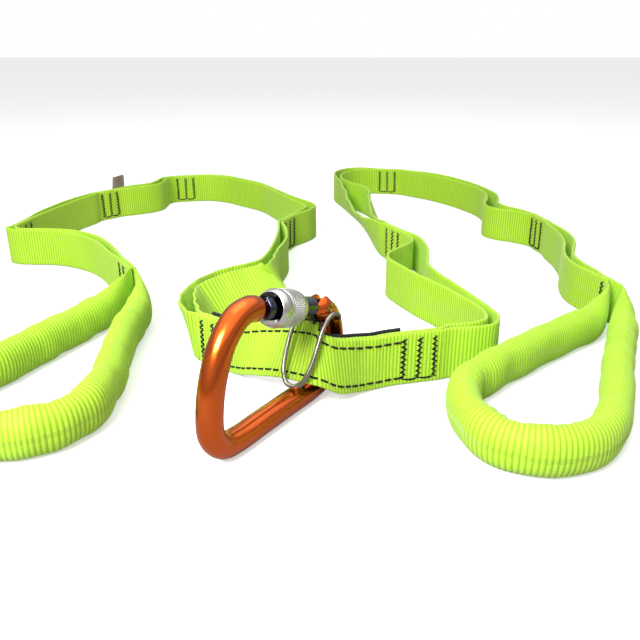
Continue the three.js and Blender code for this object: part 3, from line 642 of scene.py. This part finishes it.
# %% Thread along a line
def thread_piece(name, lines, thick, body, node, sides=6):
    points, faces, along, around = [], [], [], []
    for line in lines:
        line = np.asarray(line, float)
        ahead = np.gradient(line, axis=0)
        ahead /= np.linalg.norm(ahead, axis=1)[:, None]
        side = np.cross(ahead, [0.31, 0.17, 0.93])
        side /= np.linalg.norm(side, axis=1)[:, None]
        other = np.cross(ahead, side)
        taper = np.ones(len(line))
        taper[[0, -1]] = 0.45
        turn = 2 * math.pi * np.arange(sides) / sides
        rings = line[:, None] + (side[:, None] * np.cos(turn)[None, :, None] +
                                 other[:, None] * np.sin(turn)[None, :, None]) \
            * (thick / 2 * taper)[:, None, None]
        start = sum(len(p) for p in points)
        points.append(rings.reshape(-1, 3))
        ring = np.arange(sides)
        step = np.roll(ring, -1)
        base = start + (np.arange(len(line) - 1) * sides)[:, None]
        quads = np.stack([base + ring, base + ring + sides, base + step + sides, base + step], 2)
        faces += quads.reshape(-1, 4).tolist()
        faces.append((start + ring).tolist())
        faces.append((start + (len(line) - 1) * sides + ring[::-1]).tolist())
        far = np.concatenate([[0], np.cumsum(np.linalg.norm(np.diff(line, axis=0), axis=1))])
        along.append(np.repeat(far, sides))
        around.append(np.tile(turn * thick / 2, len(line)))
    mesh = bpy.data.meshes.new(name)
    mesh.from_pydata(place(np.vstack(points)).tolist(), [], faces)
    turn_out(mesh)
    layer = mesh.uv_layers.new(name="weave")
    corner = np.empty(len(mesh.loops), np.int32)
    mesh.loops.foreach_get("vertex_index", corner)
    uv = np.stack([np.concatenate(along)[corner], np.concatenate(around)[corner]], 1)
    layer.data.foreach_set("uv", uv.astype(np.float32).ravel())
    mesh.materials.append(thread_black)
    mesh.shade_smooth()
    piece = bpy.data.objects.new(name, mesh)
    bpy.context.scene.collection.objects.link(piece)
    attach(piece, body)
    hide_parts(node)
    return piece


# %% Running stitches on the bridge
STITCH, STITCH_GAP = 3.8, 0.95
first_stitch = bridge.nearest(*tack_edge("bridge_left", 1, -1.0))
last_stitch = bridge.nearest(*tack_edge("bridge_right", -1, 0.0))


def running_stitch(height, faces_of_stack):
    lines = []
    chance = random.Random(int(height * 10))
    s = first_stitch
    while s < last_stitch:
        length = min(STITCH * chance.uniform(0.9, 1.1), last_stitch - s)
        places = s + length * np.array([0, 0.12, 0.35, 0.65, 0.88, 1])
        sink = np.array([-0.5, -0.02, 0.14, 0.14, -0.02, -0.5])
        point, up, face, lean = bridge.at(places)
        wander = chance.uniform(-0.12, 0.12)
        for offset, way in faces_of_stack:
            out = offset + way * sink
            spot = point + face * out[:, None] + up * (out * np.tan(lean) + height + wander)[:, None]
            spot[:, 2] += np.abs(np.sin(lean)) * PLY / 2
            lines.append(spot)
        s += length + STITCH_GAP
    return lines


front_face = -(HALF_STACK + PLY / 2)
back_face = HALF_STACK + TAPE_OFFSET + TAPE_FACE
upper = running_stitch(WIDTH - 4.0, [(front_face, -1), (back_face, 1)])
lower = running_stitch(3.6, [(front_face, -1), (back_face, 1)])
thread_piece("bridge_upper_thread", upper, 0.98, "strap", "bridge_upper_stitching")
thread_piece("bridge_lower_thread", lower, 0.98, "strap", "bridge_lower_stitching")
print(len(upper) + len(lower), "running stitches")


# %% Bar tacks
def tack_lines(name, extra_back=0.0):
    at, heading, _, rows = bar_tacks[name]
    turn = math.radians(heading)
    ahead = np.array([math.cos(turn), math.sin(turn), 0])
    left = np.array([-ahead[1], ahead[0], 0])
    chance = random.Random(name)
    lines = []
    zigs = 16
    for way in (1, -1):
        out = (HALF_STACK + PLY / 2 + 0.12 + (extra_back if way > 0 else 0)) * way
        for row in range(rows):
            middle = (row - (rows - 1) / 2) * ROW_PITCH
            slant = chance.uniform(-0.5, 0.5)
            zigzag = []
            for i in range(zigs * 2 + 1):
                height = 2.6 + 20 * i / (zigs * 2)
                swing = (1.0, 0, -1.0, 0)[i % 4] * chance.uniform(0.95, 1.3)
                depth = -0.12 if i % 2 == 0 else 0.16
                spot = middle + swing + slant * (height - 12.5) / 12.5
                zigzag.append(np.array([*at, 0]) + ahead * spot + left * (out + way * depth) +
                              np.array([0, 0, height]))
            lines.append(np.array(zigzag))
            if row < rows - 1:
                s = middle + ROW_PITCH * np.linspace(0.08, 0.92, 7)
                sag = 0.5 * np.sin(np.linspace(0, math.pi, 7))
                lines.append(np.array([[*at, 0]]) + ahead * s[:, None] + left * out +
                             np.stack([0 * s, 0 * s, 2.9 - sag], 1))
    return lines


for name in bar_tacks:
    thick_behind = 1.5 if name == "bridge_left" else 0.0
    thread_piece(name + "_thread", tack_lines(name, thick_behind), 0.9, "strap", name + "_bar_tack", sides=5)
print(len(bar_tacks), "bar tacks sewn")

# %% [markdown]
# ## Foot loops
# Past the throat the same webbing is opened out over a soft filling. Flat and upright at the throat, it
# swells within a boot's width into an oval, and the two pressed edges stay as faint creases at the top
# and the bottom. The tube is a skin of many oval rings: each rib is a swelling, and broad, shallow
# wrinkles gather on the inside of the tight bends.

# %% Foot loops
TUBE_WIDE, TUBE_TALL = 13.6, 19.5


def foot_loop(side, stations, seed):
    route = Route(stations)
    steps = int(round(route.length / RIB_PITCH * 6))
    s = np.linspace(0, route.length, steps + 1)
    point, _, left, _ = route.at(s)
    from_end = np.clip(np.minimum(s, route.length - s) / 36.0, 0, 1)
    opened = from_end * from_end * (3 - 2 * from_end)
    ahead = np.stack([np.interp(s + 3, s, point[:, k]) - np.interp(s - 3, s, point[:, k]) for k in (0, 1)], 1)
    heading = np.unwrap(np.arctan2(ahead[:, 1], ahead[:, 0]))
    bend = np.convolve(np.gradient(heading, s), np.ones(25) / 25, "same")
    half_wide = (PLY + 0.2 + (TUBE_WIDE - PLY - 0.2) * opened) / 2
    half_tall = (WIDTH + (TUBE_TALL - WIDTH) * opened) / 2
    around_count = 40
    turn = 2 * math.pi * (np.arange(around_count) + 0.5) / around_count
    squarish = 0.86
    wide = np.sign(np.cos(turn)) * np.abs(np.cos(turn)) ** squarish
    tall = np.sign(np.sin(turn)) * np.abs(np.sin(turn)) ** squarish
    crease = np.exp(-((np.abs(np.sin(turn)) - 1) / 0.03) ** 2)
    rib = rib_height(s, RIB_PITCH, 0.3, seed)
    chance = np.random.default_rng(seed)
    wrinkle = np.zeros((len(s), around_count))
    for _ in range(7):
        wave, phase, lean = chance.uniform(11, 34), chance.uniform(0, 6.28), chance.uniform(-1.5, 1.5)
        wrinkle += 0.13 * np.sin(2 * math.pi * s[:, None] / wave + phase + lean * np.sin(turn)[None, :])
    gather = 0.55 * np.clip(np.abs(bend) * 22, 0, 1)[:, None] * np.clip(
        np.sign(bend)[:, None] * np.cos(turn)[None, :], 0, 1) * np.sin(2 * math.pi * s[:, None] / 6.3 +
                                                                     1.2 * np.sin(turn)[None, :])
    swell = (rib[:, None] - 0.25 + (wrinkle + gather) * opened[:, None])
    flat_x = half_wide[:, None] * wide[None, :]
    flat_z = half_tall[:, None] * tall[None, :]
    length = np.hypot(np.cos(turn) / 1.0, np.sin(turn))
    out_x = np.cos(turn)[None, :] / length * swell
    out_z = np.sin(turn)[None, :] / length * (swell + 0.5 * crease[None, :] * opened[:, None])
    across = flat_x + out_x
    centre = point[:, None, :2] + left[:, None, :2] * across[..., None]
    height = np.maximum(half_tall[:, None] + flat_z + out_z + 0.05, 0.02)
    rings = np.concatenate([centre, height[..., None]], 2)
    girth = turn * 52 / (2 * math.pi)
    piece = skin(side + "_foot_loop_webbing", rings, s, girth, hi_vis)
    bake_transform(piece)
    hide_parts(side + "_loop_tube", side + "_loop_core")
    print(piece.name, f"{route.length:.0f} mm round")
    return piece


left_path = [[-98.5, 115.15], [-96.6, 111.3], *left_loop[1:-1], [-101.6, 109], [-100.55, 114.0]]
right_path = [[165.25, 94.75], [166.8, 90.2], *right_loop[1:-1], [161.6, 90], [163.05, 94.2]]
foot_loop("left", left_path, 21)
foot_loop("right", right_path, 22)

# %% [markdown]
# ## Label tab
# A short, plain cloth tab is sewn in behind the strap near a bar tack. It is a folded strip, so its
# section is two thin leaves joined at the top and bottom edges, and it curls away a little at the free
# corner.

# %% Label tab
behind = laid["left_arm_inner_ply"]
label_spot = behind.nearest(-169, 347)
s = np.linspace(label_spot - 7, label_spot + 7, 29)
point, up, face, lean = behind.at(s)
rows = np.linspace(0, 17, 23)
curl = ((s - s[0]) / 14)[:, None] ** 2 * (rows / 17)[None, :] ** 2 * 1.6
skew = (rows / 17)[None, :] * 2.5
tab_base = point + face * (PLY / 2 + 1.1) + up * 17.5
leaf = tab_base[:, None] + up[:, None] * rows[None, :, None] + face[:, None] * curl[..., None]
run = np.gradient(point, s, axis=0)
leaf = leaf + run[:, None] * skew[..., None]
thick = 0.45 + 0.12 * np.sin(rows / 17 * math.pi)
near = leaf - face[:, None] * thick[None, :, None]
far = (leaf + face[:, None] * thick[None, :, None])[:, ::-1]
girth = np.concatenate([rows, 17.9 + rows])
tab = skin("label_tab_cloth", np.concatenate([near, far], 1), s, girth, label_cloth)
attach(tab, "strap")
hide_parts("label_tab")
print("label tab", len(tab.data.polygons), "faces")

# %% [markdown]
# ## The carabiner
# The carabiner is drawn flat, spine along X and opening along Y, as on a workbench, and each piece is
# then stood up where it belongs by one matrix that goes straight into its mesh. The forged bar is a
# curve with a round bevel, made a mesh; the knuckle and the nose tongue are joined
# and cut with Boolean modifiers, and a small bevel softens every machined edge.

# %% Bench tools
bench = Matrix((
    (along_spine[0], 0, out_of_flank[0], 0), (along_spine[1], 0, out_of_flank[1], 0),
    (0, 1, 0, 0), (0, 0, 0, 1)))
bench = Matrix.Translation(Vector(place(carabiner_corner))) @ bench
GATE_ANGLE = math.radians(163.3)
gate_bench = bench @ Matrix.Translation(Vector((hinge_at[0] * MM, hinge_at[1] * MM, 0))) @ Matrix.Rotation(
    GATE_ANGLE, 4, "Z")


def only(piece):
    bpy.ops.object.select_all(action="DESELECT")
    piece.select_set(True)
    bpy.context.view_layer.objects.active = piece


def settle():
    piece = bpy.context.object
    bpy.ops.object.transform_apply(location=True, rotation=True, scale=True)
    return piece


def rod(radius, length, at, axis="Z", sides=48):
    bpy.ops.object.select_all(action="DESELECT")
    turns = {"Z": (0, 0, 0), "X": (0, math.pi / 2, 0), "Y": (math.pi / 2, 0, 0)}
    bpy.ops.mesh.primitive_cylinder_add(vertices=sides, radius=radius * MM, depth=length * MM,
                                        location=[v * MM for v in at], rotation=turns[axis])
    return settle()


def brick(size, at, angle=0.0):
    bpy.ops.object.select_all(action="DESELECT")
    bpy.ops.mesh.primitive_cube_add(size=1, location=[v * MM for v in at], rotation=(0, 0, angle))
    bpy.context.object.scale = [v * MM for v in size]
    return settle()


def combine(piece, tool, kind):
    only(piece)
    modifier = piece.modifiers.new("cut", "BOOLEAN")
    modifier.operation = kind
    modifier.object = tool
    modifier.solver = "EXACT"
    bpy.ops.object.modifier_apply(modifier=modifier.name)
    bpy.data.objects.remove(tool)


def soften(piece, width, segments=3, angle=30):
    only(piece)
    modifier = piece.modifiers.new("edge", "BEVEL")
    modifier.width = width * MM
    modifier.segments = segments
    modifier.limit_method = "ANGLE"
    modifier.angle_limit = math.radians(angle)
    bpy.ops.object.modifier_apply(modifier=modifier.name)


def finish_piece(piece, name, matrix, paint, body, nodes, angle=35):
    piece.name = name
    piece.data.name = name
    piece.data.materials.clear()
    piece.data.materials.append(paint)
    only(piece)
    bpy.ops.object.shade_smooth_by_angle(angle=math.radians(angle))
    piece.data.transform(matrix)
    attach(piece, body)
    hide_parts(*nodes)
    print(name, len(piece.data.polygons), "faces")
    return piece


def bent_rod(name, points, radius, smooth=10, resolution=6):
    bpy.ops.object.select_all(action="DESELECT")
    bpy.ops.curve.primitive_bezier_curve_add()
    piece = bpy.context.object
    piece.name = name
    curve = piece.data
    curve.dimensions = "3D"
    curve.splines.clear()
    path, _ = centripetal(points, smooth)
    spline = curve.splines.new("POLY")
    spline.points.add(len(path) - 1)
    for spot, knot in zip(path, spline.points):
        knot.co = (*(spot * MM), 1)
    curve.bevel_depth = radius * MM
    curve.bevel_resolution = resolution
    curve.use_fill_caps = True
    curve.twist_mode = "MINIMUM"
    bpy.ops.object.convert(target="MESH")
    bpy.ops.object.transform_apply(location=True, rotation=True, scale=True)
    only(piece)
    bpy.ops.object.mode_set(mode="EDIT")
    bpy.ops.mesh.select_all(action="SELECT")
    bpy.ops.mesh.remove_doubles(threshold=1e-6)
    bpy.ops.mesh.normals_make_consistent(inside=False)
    bpy.ops.object.mode_set(mode="OBJECT")
    return piece


# %% Body of the carabiner
BAR = carabiner_corner[2]
GATE_LONG = 41.2
NOSE_REACH = 45.6
KNUCKLE = 5.7
PIN_HOLE = 1.58
BORE = 4.95
along_gate = np.array([math.cos(GATE_ANGLE), math.sin(GATE_ANGLE)])


def on_gate(reach):
    return np.array(hinge_at) + along_gate * reach


body_line = [[*on_gate(NOSE_REACH), 0], [*on_gate(NOSE_REACH + 3), 0]] + [[x, y, 0] for x, y in (
    (-17.5, 48.4), (-26, 41.5), (-31.8, 30.5), (-34.8, 18), (-34.6, 8), (-29.5, 1.6), (-21, 0), (-6, 0),
    (12, 0), (30, 0), (39, 1.8), (45, 8), (46.6, 17), (45.4, 25), (42, 31.2), hinge_at)]
body = bent_rod("carabiner_bar", body_line, BAR, smooth=9, resolution=7)
bpy.ops.object.select_all(action="DESELECT")
bpy.ops.mesh.primitive_uv_sphere_add(segments=56, ring_count=36, radius=KNUCKLE * MM,
                                     location=[v * MM for v in (*hinge_at, 0)])
knuckle = settle()
combine(body, knuckle, "UNION")
combine(body, brick((10.4, 6, 3), (*on_gate(NOSE_REACH - 3.2), 0), GATE_ANGLE), "UNION")
combine(body, brick((14.8, 14, 4.7), (*on_gate(3.1), 0), GATE_ANGLE), "DIFFERENCE")
combine(body, rod(PIN_HOLE, 22, (*hinge_at, 0), sides=32), "DIFFERENCE")
combine(body, rod(1.35, 20, (42.6, 29.4, 0), sides=24), "DIFFERENCE")
soften(body, 0.28, 2, 38)
finish_piece(body, "carabiner_forging", bench, orange_dye, "carabiner", ["carabiner_body"])

# %% Hinge pin
pin = rod(1.5, 10.6, (*hinge_at, 0), sides=40)
soften(pin, 0.45, 4)
finish_piece(pin, "hinge_rivet", bench, wire_metal, "carabiner", ["gate_hinge_pin"])

# %% [markdown]
# The gate is drawn on its own bench, with the hinge at zero and the nose along X. It is a turned barrel
# with a flat tongue at the hinge and a keyhole slot at the nose, where it closes over the body's tongue.

# %% Gate
gate = rod(4.6, GATE_LONG - 7.3, ((GATE_LONG + 7.3) / 2, 0, 0), "X", 64)
soften(gate, 0.5, 3)
combine(gate, brick((9, 7.6, 4), (4, 0, 0)), "UNION")
combine(gate, rod(3.8, 4, (0, 0, 0)), "UNION")
combine(gate, rod(PIN_HOLE, 8, (0, 0, 0), sides=32), "DIFFERENCE")
combine(gate, rod(1.45, 20, (10, 0, 0), "X", 24), "DIFFERENCE")
combine(gate, brick((10, 13.8, 3.7), (GATE_LONG, 0, 0)), "DIFFERENCE")
soften(gate, 0.2, 2, 40)
finish_piece(gate, "gate_barrel", gate_bench, blue_black_dye, "gate", ["carabiner_gate"])

# %% Plunger
plunger = rod(1.1, 5, (4.7, 0, 0), "X", 24)
soften(plunger, 0.3)
finish_piece(plunger, "plunger", gate_bench, wire_metal, "gate", ["gate_plunger"])

# %% Return spring
coil = [[7.4 + 10.3 * t, 0.82 * math.cos(12 * math.pi * t), 0.82 * math.sin(12 * math.pi * t)]
        for t in np.linspace(0, 1, 121)]
spring = bent_rod("return_spring", coil, 0.175, smooth=2, resolution=1)
finish_piece(spring, "return_spring", gate_bench, wire_metal, "gate", ["gate_spring"])

# %% [markdown]
# The screw sleeve is spun from its profile: an open mouth with a bright bevelled rim, a band of diamond
# knurling to grip, and a smooth tapered tail. The knurl is cut as real diamonds, by pushing the points of
# a fine grid in and out where two sets of helical grooves cross.

# %% Screw sleeve
SLEEVE_FROM = 17.6
outline = [(BORE, 0), (5.6, 0), (6.15, 0.25), (6.9, 1.6), (7.3, 3.0), (7.45, 3.9), (7.5, 4.4)]
knurl_from, knurl_to, knurl_steps = 4.6, 12.4, 40
outline += [(7.6, v) for v in np.linspace(knurl_from, knurl_to, knurl_steps)]
outline += [(7.5, 12.6), (7.35, 12.75), (7.35, 13.3), (7.6, 13.5), (7.75, 13.9), (7.75, 15.9), (7.6, 16.4),
            (7.0, 18.0), (6.75, 18.4), (6.5, 18.5), (6.3, 18.3), (6.3, 9.6), (6.0, 9.5), (6.0, 1.3),
            (5.9, 1.2),
            (BORE, 1.2)]
sides = 144
turn = 2 * math.pi * np.arange(sides) / sides
rings = []
for radius, reach in outline:
    knurled = radius == 7.6 and knurl_from <= reach <= knurl_to
    fade = min(1, (reach - knurl_from) / 0.5, (knurl_to - reach) / 0.5) if knurled else 0
    one = np.abs(np.sin(turn * 18 + reach * 2.4))
    two = np.abs(np.sin(turn * 18 - reach * 2.4))
    r = radius + 0.3 * fade * (np.minimum(one, two) * 2 - 0.9)
    rings.append(np.stack([np.full(sides, SLEEVE_FROM + reach), r * np.cos(turn), r * np.sin(turn)], 1))
rings = np.array(rings)
mesh = bpy.data.meshes.new("screw_sleeve")
ring, step = np.arange(sides), np.roll(np.arange(sides), -1)
base = (np.arange(len(rings)) * sides)[:, None]
nxt = (np.roll(np.arange(len(rings)), -1) * sides)[:, None]
quads = np.stack([base + ring, base + step, nxt + step, nxt + ring], 2).reshape(-1, 4)
mesh.from_pydata((rings.reshape(-1, 3) * MM).tolist(), [], quads.tolist())
turn_out(mesh)
sleeve = bpy.data.objects.new("screw_sleeve", mesh)
bpy.context.scene.collection.objects.link(sleeve)
finish_piece(sleeve, "screw_sleeve", gate_bench, bare_metal, "sleeve", ["gate_sleeve"], 40)

# %% Threaded liner
liner = rod(5.65, 6, (22.15, 0, 0), "X", 64)
combine(liner, rod(BORE, 8, (22.15, 0, 0), "X", 64), "DIFFERENCE")
soften(liner, 0.1, 1)
finish_piece(liner, "thread_liner", gate_bench, bare_metal, "thread", ["sleeve_thread_liner"])

# %% [markdown]
# ## Wire bail
# A springy stainless wire hangs from a cross hole beside the hinge and runs down over the webbing to
# the spine, so the carabiner can't turn across the strap.

# %% Wire bail
half = [(42.6, 29.4, 2.7), (42.6, 29.4, 5.7), (40.4, 31.8, 7.2), (36.4, 33.6, 7.2), (31.8, 32.6, 7.2),
        (27.4, 28.6, 7.2), (23.8, 22.8, 7.2), (20.4, 16.6, 6.8), (17.4, 11.2, 5.6), (16, BAR + 2.2, 3.2)]
wire_line = half + [(15.8, BAR + 1.35, 0)] + [(x, y, -z) for x, y, z in reversed(half)]
bail = bent_rod("wire_bail_loop", wire_line, 1.0, smooth=10, resolution=4)
finish_piece(bail, "wire_bail_loop", bench, wire_metal, "bail", ["wire_bail"])
